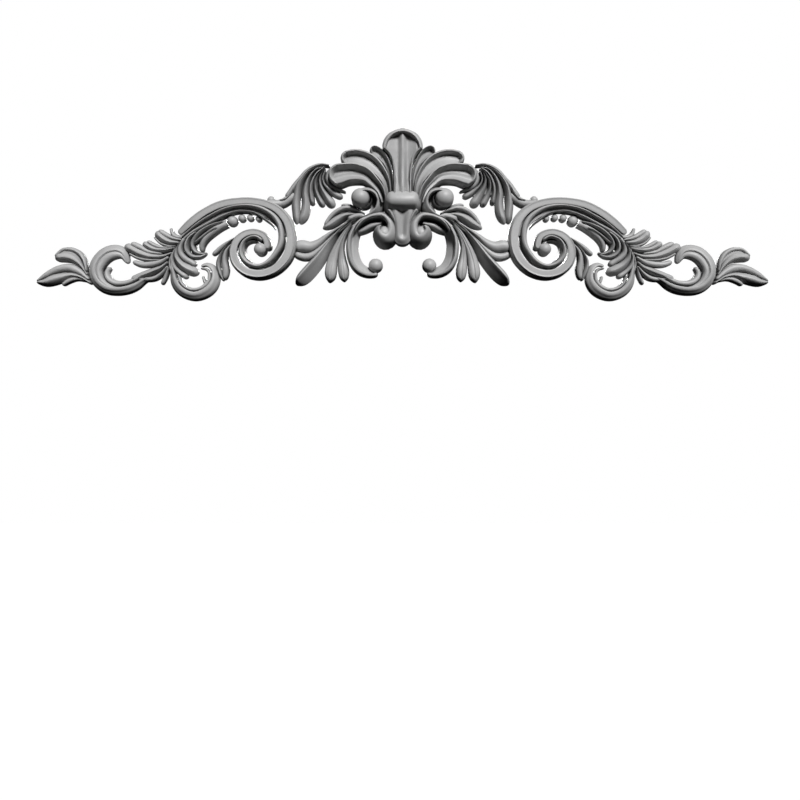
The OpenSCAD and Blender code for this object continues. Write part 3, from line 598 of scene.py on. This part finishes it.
def section(kind, u, props):
    """Share of the crest height across a strip."""
    wall = props.fold_wall
    dome = np.sqrt(np.clip(1 - u * u, 0, 1))
    if kind == "roll":
        return wall + (1 - wall) * dome
    if kind == "ridge":
        return wall + (1 - wall) * (1 - np.abs(u) ** 1.5)
    if kind == "leaf":
        vein = np.exp(-((u - 0.05) / 0.13) ** 2) + 0.45 * np.exp(-((u + 0.5) / 0.1) ** 2)
        return wall + 0.1 + (0.9 - wall) * dome - props.vein * vein
    if kind in SECTIONS:
        return knots(u, SECTIONS[kind])
    return np.ones_like(u)


# --- strips to solids

# Points on the rail between two stations.
RAIL_POINTS = 24
# How far before and after a ring the rail's direction is taken, in mm.
DIRECTION_REACH = 0.3
# Longest rounded start and end, as shares of the strip's length.
LONGEST_START = 0.45
LONGEST_END = 0.6
# How far into a rounded end its first ring lies, as a share of it, so that no tip is a point.
TIP_START = 0.004
# Depth of the narrow band of wall under each edge, in mm.
EDGE_BAND = 0.45
# Steps along a lobe of the shell against those of other strips.
LOBE_STEP = 0.45
# A boss: points round it and rings up it.
BOSS_SIDES = 28
BOSS_ROWS = 9


def smooth_line(stations, per_gap):
    """Points on the smooth line through the stations, per_gap of them between two."""
    s = np.asarray(stations, float)
    s = np.vstack([2 * s[0] - s[1], s, 2 * s[-1] - s[-2]])
    t = np.linspace(0, 1, per_gap, endpoint=False)[:, None]
    rows = []
    for a, b, c, d in zip(s[:-3], s[1:-2], s[2:-1], s[3:]):
        rows.append((2 * b + (c - a) * t + (2 * a - 5 * b + 4 * c - d) * t ** 2
                     + (3 * b - a - 3 * c + d) * t ** 3) / 2)
    return np.vstack(rows + [s[-2:-1]])


def places_along(length, start, end, pitch):
    """Distances along a strip: even steps, closer together round a rounded end."""
    def turn(radius):
        steps = int(np.clip(math.ceil(2.6 * radius / pitch), 4, 40))
        return radius * (1 - np.cos(np.linspace(0, math.pi / 2, steps + 1)))[:-1]
    count = max(4, int(math.ceil((length - start - end) / pitch)))
    middle = np.linspace(start, length - end, count + 1)
    first = turn(start) if start else np.zeros(0)
    last = length - turn(end)[::-1] if end else np.zeros(0)
    return np.concatenate([first, middle, last])


def strip_solid(kind, start_round, end_round, stations, props):
    """Points and faces of one strip, closed, with its back at y = 0."""
    line = smooth_line(stations, RAIL_POINTS)
    run = np.concatenate([[0], np.cumsum(np.linalg.norm(np.diff(line[:, :2], axis=0), axis=1))])
    length = run[-1]
    start = min(start_round * line[0, 2], length * LONGEST_START)
    end = min(end_round * line[-1, 2], length * LONGEST_END)
    s = places_along(length, start, end, props.pitch / MM * (LOBE_STEP if kind in LOBES else 1))

    # At each place: across, up, half width and height of the strip, and the direction of travel.
    ring = np.stack([np.interp(s, run, line[:, i]) for i in range(4)], axis=1)
    near = np.stack([np.interp(s - DIRECTION_REACH, run, line[:, i]) for i in range(2)], axis=1)
    far = np.stack([np.interp(s + DIRECTION_REACH, run, line[:, i]) for i in range(2)], axis=1)
    travel = far - near
    travel /= np.linalg.norm(travel, axis=1)[:, None]

    # Share of the width that is left round the ends.
    cap = np.ones(len(s))
    if start:
        cap *= np.sqrt(1 - (1 - np.clip(s / start + TIP_START, 0, 1)) ** 2)
    if end:
        cap *= np.sqrt(1 - (1 - np.clip((length - s) / end + TIP_START, 0, 1)) ** 2)

    # Places across, a little closer together towards the edges.
    width = np.max(ring[:, 2])
    across = int(np.clip(round(2 * width / props.grain_across), 6, 22))
    if kind in LOBES:
        across = int(np.clip(round(3.6 * width / props.grain_across), 12, 80))
    u = -np.cos(np.linspace(0, math.pi, across + 1)) * 0.35 + np.linspace(-1, 1, across + 1) * 0.65

    # Heights: round a tip the section turns with the outline, so its edge stays the edge.
    c = cap[:, None]
    half = ring[:, 2:3]
    radius = np.sqrt(np.clip(1 - c * c * (1 - u * u), 1e-9, 1))
    side = (u * c / radius + 1) / 2
    if kind in LOBES:
        left = (length - s)[:, None]
        around_end = np.clip(1.6 * (1 - left / max(end, 1e-9)), 0, 1) if end else 0 * c
        inset = np.where(left < end, end - np.hypot(end - left, u * c * half),
                         (1 - np.abs(u)) * half)
        share = lobe(kind, u * c, np.clip(inset, 0, None), around_end, half)
    else:
        share = section(kind, -radius, props) * (1 - side) + section(kind, radius, props) * side

    offset = u * c * half
    x = ring[:, 0:1] + travel[:, 1:2] * offset
    z = ring[:, 1:2] - travel[:, 0:1] * offset
    front = np.stack([x, -ring[:, 3:4] * share, z], axis=2)
    sides = front[:, [-1, -1, 0, 0]].copy()
    edge = sides[:, :, 1].copy()
    sides[:, :, 1] = np.minimum(edge + EDGE_BAND, 0.3 * edge) * (1, 0, 0, 1)

    # Each ring: the front, the band under the right edge, two points on the back, the left band.
    points = np.concatenate([front, sides], axis=1)
    n, w = points.shape[:2]
    index = np.arange(n * w).reshape(n, w)
    nxt = np.roll(index, -1, axis=1)
    a, b, d, e = index[:-1], nxt[:-1], index[1:], nxt[1:]
    faces = np.concatenate([np.stack([a, b, d], 2).reshape(-1, 3),
                            np.stack([b, e, d], 2).reshape(-1, 3)])
    return points.reshape(-1, 3), faces.tolist() + [list(index[0][::-1]), list(index[-1])]


def boss_solid(x, z, radius, height):
    """A ball of the given radius with its front at height, carried straight down to the back."""
    sides, rows = BOSS_SIDES, BOSS_ROWS
    radius = min(radius, height)
    turns = np.linspace(0, 2 * math.pi, sides, endpoint=False)
    rings = []
    for i in range(rows):
        a = math.pi / 2 * i / rows
        rings.append([(x + radius * math.cos(a) * math.cos(t),
                       -(height - radius + radius * math.sin(a)),
                       z + radius * math.cos(a) * math.sin(t)) for t in turns])
    base = [(p[0], 0.0, p[2]) for p in rings[0]]
    points = [p for ring in [base] + rings for p in ring] + [(x, -height, z)]
    faces = []
    for i in range(rows):
        for j in range(sides):
            k = (j + 1) % sides
            faces.append([i * sides + j, i * sides + k, (i + 1) * sides + k, (i + 1) * sides + j])
    top = rows * sides
    faces += [[top + j, top + (j + 1) % sides, len(points) - 1] for j in range(sides)]
    return np.array(points), faces + [list(range(sides))[::-1]]


def new_object(name, points, faces):
    """A mesh object in the scene, from points in millimetres."""
    mesh = bpy.data.meshes.new(name)
    mesh.from_pydata((np.asarray(points) * MM).tolist(), [], faces)
    mesh.validate()
    obj = bpy.data.objects.new(name, mesh)
    bpy.context.scene.collection.objects.link(obj)
    return obj


def apply_modifiers(obj):
    """Replaces the object's mesh by its evaluated one."""
    graph = bpy.context.evaluated_depsgraph_get()
    mesh = bpy.data.meshes.new_from_object(obj.evaluated_get(graph))
    obj.modifiers.clear()
    old, obj.data = obj.data, mesh
    bpy.data.meshes.remove(old)


def union(objects):
    """One solid of many, joined two by two."""
    while len(objects) > 1:
        kept = []
        for i in range(0, len(objects) - 1, 2):
            join = objects[i].modifiers.new("join", "BOOLEAN")
            join.operation = "UNION"
            join.solver = "MANIFOLD"
            join.object = objects[i + 1]
            kept.append(objects[i])
        bpy.context.view_layer.update()
        for i, obj in enumerate(kept):
            apply_modifiers(obj)
            other = objects[2 * i + 1]
            mesh = other.data
            bpy.data.objects.remove(other)
            bpy.data.meshes.remove(mesh)
        if len(objects) % 2:
            kept.append(objects[-1])
        objects = kept
    return objects[0]


# --- materials

def add_node(tree, kind, settings=None, links=None):
    """Adds one node, sets its properties and inputs, and links its inputs to other sockets."""
    node = tree.nodes.new(kind)
    for key, value in (settings or {}).items():
        if isinstance(key, int) or key in node.inputs:
            node.inputs[key].default_value = value
        else:
            setattr(node, key, value)
    for key, socket in (links or {}).items():
        tree.links.new(socket, node.inputs[key])
    return node


def empty_tree(material):
    """The material's node tree, emptied."""
    material.use_nodes = True
    material.node_tree.nodes.clear()
    return material.node_tree


def primed_carved_wood(props):
    """Close-grained wood cut with a ball-nosed cutter, sanded and sprayed with thin grey primer.

    To the eye: an even matt-satin grey, a little speckled where the primer stands on the pores,
    with painted shade that darkens the colour deep in the cuts, and with fine
    upright cutter marks on the side walls.
    """
    material = bpy.data.materials.new("primed carved wood")
    tree = empty_tree(material)
    coords = add_node(tree, "ShaderNodeTexCoord")
    place = coords.outputs["Object"]

    # speckle of the primer on the pores, a slow change of tone, and painted shade that darkens the
    # hollows
    speckle = add_node(tree, "ShaderNodeTexNoise",
                       {"Scale": 1 / props.speckle, "Detail": 3.0, "Roughness": 0.6},
                       {"Vector": place})
    mottle = add_node(tree, "ShaderNodeTexNoise",
                      {"Scale": 1 / props.mottle, "Detail": 2.0, "Roughness": 0.5},
                      {"Vector": place})
    grey = add_node(tree, "ShaderNodeMix",
                    {"data_type": "RGBA", 6: linear(props.grey_low), 7: linear(props.grey_high)},
                    {0: speckle.outputs["Fac"]})
    shade = add_node(tree, "ShaderNodeMapRange", {1: 0.3, 2: 0.7, 3: 0.96, 4: 1.03},
                     {0: mottle.outputs["Fac"]})
    # painted shade: an occlusion pass darkens the colour deep in the cuts and hollows, where shade
    # falls
    hollow = add_node(tree, "ShaderNodeAmbientOcclusion",
                      {"samples": 8, "Distance": props.painted_shade_reach})
    painted_hollow_shade = add_node(tree, "ShaderNodeMapRange", {1: 0.15, 2: 0.75, 3: props.painted_shade_tone, 4: 1.0},
                       {0: hollow.outputs["AO"]})
    mottle_and_painted_shade = add_node(tree, "ShaderNodeMath", {"operation": "MULTIPLY"},
                          {0: shade.outputs[0], 1: painted_hollow_shade.outputs[0]})
    tone = add_node(tree, "ShaderNodeVectorMath", {"operation": "SCALE"},
                    {0: grey.outputs[2], 3: mottle_and_painted_shade.outputs[0]})

    # cutter marks: streaks that run from the face to the back, seen only on the walls
    streaks = add_node(tree, "ShaderNodeMapping",
                       {"Scale": (1 / props.cutter_step, 12.0, 1 / props.cutter_step)},
                       {"Vector": place})
    marks = add_node(tree, "ShaderNodeTexNoise", {"Scale": 1.0, "Detail": 1.0},
                     {"Vector": streaks.outputs[0]})
    geometry = add_node(tree, "ShaderNodeNewGeometry")
    facing = add_node(tree, "ShaderNodeSeparateXYZ", {}, {0: geometry.outputs["True Normal"]})
    flat = add_node(tree, "ShaderNodeMath", {"operation": "ABSOLUTE"}, {0: facing.outputs["Y"]})
    wall = add_node(tree, "ShaderNodeMapRange", {1: 0.05, 2: 0.3, 3: 1.0, 4: 0.0},
                    {0: flat.outputs[0]})
    depth = add_node(tree, "ShaderNodeMath", {"operation": "MULTIPLY"},
                     {0: wall.outputs[0], 1: marks.outputs["Fac"]})
    cut = add_node(tree, "ShaderNodeBump", {"Strength": 0.5, "Distance": 0.0006},
                   {"Height": depth.outputs[0]})
    skin = add_node(tree, "ShaderNodeBump", {"Strength": 0.25, "Distance": 0.0002},
                    {"Height": speckle.outputs["Fac"], "Normal": cut.outputs[0]})

    shader = add_node(tree, "ShaderNodeBsdfPrincipled",
                      {"Roughness": props.sheen_roughness, "IOR": 1.45, "Specular IOR Level": 0.5},
                      {"Base Color": tone.outputs[0], "Normal": skin.outputs[0]})
    add_node(tree, "ShaderNodeOutputMaterial", {}, {"Surface": shader.outputs[0]})
    return material


def studio_floor_paint(props):
    """Matt white studio floor: white to the camera with a faint shadow, and dark to other rays."""
    material = bpy.data.materials.new("studio floor paint")
    tree = empty_tree(material)
    matt = add_node(tree, "ShaderNodeBsdfDiffuse", {"Color": linear(props.floor_colour)})
    white = add_node(tree, "ShaderNodeEmission", {"Color": (1, 1, 1, 1), "Strength": 1.06})
    faced = add_node(tree, "ShaderNodeMixShader", {0: 0.9},
                     {1: matt.outputs[0], 2: white.outputs[0]})
    dim = add_node(tree, "ShaderNodeBsdfDiffuse", {"Color": (0.004, 0.004, 0.004, 1)})
    seen = add_node(tree, "ShaderNodeLightPath")
    mix = add_node(tree, "ShaderNodeMixShader", {},
                   {0: seen.outputs["Is Camera Ray"], 1: dim.outputs[0], 2: faced.outputs[0]})
    add_node(tree, "ShaderNodeOutputMaterial", {}, {"Surface": mix.outputs[0]})
    return material


# --- sizes and colours a user would change

class CarvingProps(bpy.types.PropertyGroup):
    """Sizes and colours of the carving."""
    fold_wall: bpy.props.FloatProperty(
        name="Fold wall", default=0.36, min=0.3, max=0.7,
        description="Share of the crest height that a rounded fold keeps as side wall")
    vein: bpy.props.FloatProperty(
        name="Vein depth", default=0.08, min=0.0, max=0.2,
        description="Depth of the vein along a leaf finger, as a share of its height")
    pitch: bpy.props.FloatProperty(
        name="Step along", default=0.0023, min=0.001, max=0.006, unit="LENGTH",
        description="Distance between two rings of a strip")
    grain_across: bpy.props.FloatProperty(
        name="Step across", default=0.95, min=0.5, max=3.0,
        description="Distance between two points across a strip, in millimetres")
    grey_low: bpy.props.StringProperty(
        name="Primer, dark", default="9D9D9D",
        description="Darker grey of the speckled primer, sRGB hex")
    grey_high: bpy.props.StringProperty(
        name="Primer, light", default="B0B0B0",
        description="Lighter grey of the speckled primer, sRGB hex")
    speckle: bpy.props.FloatProperty(
        name="Speckle", default=0.0016, min=0.0005, max=0.01, unit="LENGTH",
        description="Size of the primer's speckle")
    mottle: bpy.props.FloatProperty(
        name="Mottle", default=0.03, min=0.005, max=0.2, unit="LENGTH",
        description="Size of the slow change of tone")
    # Hollow reach and hollow tone set the painted shade: how far the occlusion pass looks, and how
    # dark the colour is painted in the deepest hollows, where shade falls.
    painted_shade_reach: bpy.props.FloatProperty(
        name="Hollow reach", default=0.012, min=0.001, max=0.05, unit="LENGTH",
        description="How wide a hollow still holds settled primer dust")
    painted_shade_tone: bpy.props.FloatProperty(
        name="Hollow tone", default=0.3, min=0.0, max=1.0, subtype="FACTOR",
        description="Tone in the deepest hollows against the open surface")
    cutter_step: bpy.props.FloatProperty(
        name="Cutter step", default=0.0014, min=0.0005, max=0.005, unit="LENGTH",
        description="Spacing of the cutter marks on the side walls")
    sheen_roughness: bpy.props.FloatProperty(
        name="Roughness", default=0.48, min=0.2, max=1.0, subtype="FACTOR",
        description="Roughness of the dry primer")


class StageProps(bpy.types.PropertyGroup):
    """Camera, lamps and floor."""
    lens: bpy.props.FloatProperty(
        name="Lens", default=40.5, min=20, max=200, description="Focal length, mm")
    distance: bpy.props.FloatProperty(
        name="Distance", default=0.980, min=0.3, max=5, unit="LENGTH",
        description="Camera to the back plane")
    camera_x: bpy.props.FloatProperty(
        name="Camera across", default=-0.0027, min=-1, max=1, unit="LENGTH",
        description="Camera's place across")
    camera_z: bpy.props.FloatProperty(
        name="Camera height", default=-0.202, min=-1, max=1, unit="LENGTH",
        description="Camera's place up")
    key: bpy.props.FloatProperty(
        name="Key lamp", default=4.4, min=0, max=50, description="Strength of the key lamp")
    key_tilt: bpy.props.FloatProperty(
        name="Key tilt", default=math.radians(38), min=0, max=math.pi / 2, subtype="ANGLE",
        description="How far above the horizontal the key lamp stands")
    key_side: bpy.props.FloatProperty(
        name="Key side", default=math.radians(18), min=-math.pi, max=math.pi, subtype="ANGLE",
        description="How far to the right of the centre the key lamp stands")
    back: bpy.props.FloatProperty(
        name="Back lamp", default=2.6, min=0, max=50,
        description="Strength of the lamp behind, which lights the flat back")
    back_tilt: bpy.props.FloatProperty(
        name="Back lamp tilt", default=math.radians(12), min=0, max=1.5, subtype="ANGLE",
        description="How far above the horizontal the back lamp stands")
    key_soft: bpy.props.FloatProperty(
        name="Lamp softness", default=math.radians(12), min=0, max=math.pi, subtype="ANGLE",
        description="Apparent size of both lamps")
    fill: bpy.props.FloatProperty(
        name="Fill", default=0.01, min=0, max=2, description="Strength of the even fill light")
    floor_drop: bpy.props.FloatProperty(
        name="Floor drop", default=0.75, min=0.1, max=3, unit="LENGTH",
        description="Floor below the back mount")
    floor_colour: bpy.props.StringProperty(
        name="Floor", default="EFEFEC", description="Floor colour, sRGB hex")


# --- operators

# Edges that turn by more than this stay sharp.
SHARP_ANGLE = math.radians(38)
# Half the width of the studio floor, in mm.
FLOOR_HALF = 3000
# Width of the camera's sensor in mm, and how far it sees in metres.
SENSOR_WIDTH = 36
CAMERA_REACH = 50


class PEDIMENT_OT_carving(bpy.types.Operator):
    """Carves the whole ornament as one solid"""
    bl_idname = "pediment.carving"
    bl_label = "Carve pediment"

    def execute(self, context):
        props = context.scene.carving
        parts = []
        for group, strips in STRIPS.items():
            for i, strip in enumerate(strips):
                parts.append(new_object("%s_%d" % (group, i), *strip_solid(*strip, props)))
        for i, boss in enumerate(BOSSES):
            parts.append(new_object("boss_%d" % i, *boss_solid(*boss)))
        right = union(parts)
        middle = [new_object("middle_%d" % i, *strip_solid(*strip, props))
                  for i, strip in enumerate(MIDDLE)]

        # The left half is the right half mirrored, with its faces turned round.
        points = np.empty(len(right.data.vertices) * 3)
        right.data.vertices.foreach_get("co", points)
        points = points.reshape(-1, 3) / MM * (-1, 1, 1)
        faces = [list(p.vertices)[::-1] for p in right.data.polygons]
        left = new_object("left_half", points, faces)
        piece = union([right, left] + middle)
        mesh = piece.data
        if not len(mesh.polygons):
            raise RuntimeError("the carving came out empty")

        piece.name = "carved_pediment"
        mesh.materials.clear()
        mesh.materials.append(primed_carved_wood(props))
        mesh.polygons.foreach_set("material_index", [0] * len(mesh.polygons))
        mesh.polygons.foreach_set("use_smooth", [True] * len(mesh.polygons))
        mesh.set_sharp_from_angle(angle=SHARP_ANGLE)
        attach(piece, "root")
        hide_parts(NODE)
        return {"FINISHED"}


class PEDIMENT_OT_stage(bpy.types.Operator):
    """Sets the floor, the lamps, the world and the camera"""
    bl_idname = "pediment.stage"
    bl_label = "Set the stage"

    def execute(self, context):
        props = context.scene.stage
        scene = context.scene
        corners = [(FLOOR_HALF * x, FLOOR_HALF * y, 0)
                   for x, y in ((-1, -1), (1, -1), (1, 1), (-1, 1))]
        floor = new_object("floor", corners, [[0, 1, 2, 3]])
        floor.location.z = -props.floor_drop
        floor.data.materials.append(studio_floor_paint(props))

        for name, strength, tilt, turn in (("key", props.key, props.key_tilt, props.key_side),
                                           ("back", props.back, props.back_tilt, math.pi)):
            lamp = bpy.data.lights.new(name, "SUN")
            lamp.energy = strength
            lamp.angle = props.key_soft
            stand = bpy.data.objects.new(name, lamp)
            stand.rotation_euler = (math.pi / 2 - tilt, 0, turn)
            scene.collection.objects.link(stand)

        world = bpy.data.worlds.new("studio")
        world.use_nodes = True
        tree = world.node_tree
        tree.nodes.clear()
        seen = add_node(tree, "ShaderNodeLightPath")
        fill = add_node(tree, "ShaderNodeBackground",
                        {"Color": (1, 1, 1, 1), "Strength": props.fill})
        white = add_node(tree, "ShaderNodeBackground",
                         {"Color": (1, 1, 1, 1), "Strength": 1.0})
        mix = add_node(tree, "ShaderNodeMixShader", {},
                       {0: seen.outputs["Is Camera Ray"], 1: fill.outputs[0], 2: white.outputs[0]})
        add_node(tree, "ShaderNodeOutputWorld", {}, {"Surface": mix.outputs[0]})
        scene.world = world

        lens = bpy.data.cameras.new("camera")
        lens.lens = props.lens
        lens.sensor_width = SENSOR_WIDTH
        lens.clip_end = CAMERA_REACH
        camera = bpy.data.objects.new("camera", lens)
        camera.location = (props.camera_x, -props.distance, props.camera_z)
        camera.rotation_euler = (math.pi / 2, 0, 0)
        scene.collection.objects.link(camera)
        scene.camera = camera
        scene.view_settings.view_transform = "Standard"
        return {"FINISHED"}


class PEDIMENT_PT_panel(bpy.types.Panel):
    """Lists the steps and their sizes"""
    bl_label = "Pediment"
    bl_idname = "PEDIMENT_PT_panel"
    bl_space_type = "VIEW_3D"
    bl_region_type = "UI"
    bl_category = "Pediment"

    def draw(self, context):
        for operator, group in ((PEDIMENT_OT_carving, context.scene.carving),
                                (PEDIMENT_OT_stage, context.scene.stage)):
            box = self.layout.box()
            box.operator(operator.bl_idname)
            for name in group.__annotations__:
                box.prop(group, name)


CLASSES = (CarvingProps, StageProps, PEDIMENT_OT_carving, PEDIMENT_OT_stage, PEDIMENT_PT_panel)


def register():
    """Makes the classes and the scene's settings known to Blender."""
    for cls in CLASSES:
        bpy.utils.register_class(cls)
    bpy.types.Scene.carving = bpy.props.PointerProperty(type=CarvingProps)
    bpy.types.Scene.stage = bpy.props.PointerProperty(type=StageProps)


def unregister():
    """Takes them out again."""
    del bpy.types.Scene.stage
    del bpy.types.Scene.carving
    for cls in reversed(CLASSES):
        bpy.utils.unregister_class(cls)


def main():
    """Builds the carving and its studio."""
    register()
    bpy.ops.pediment.carving()
    bpy.ops.pediment.stage()


if __name__ == "__main__":
    main()
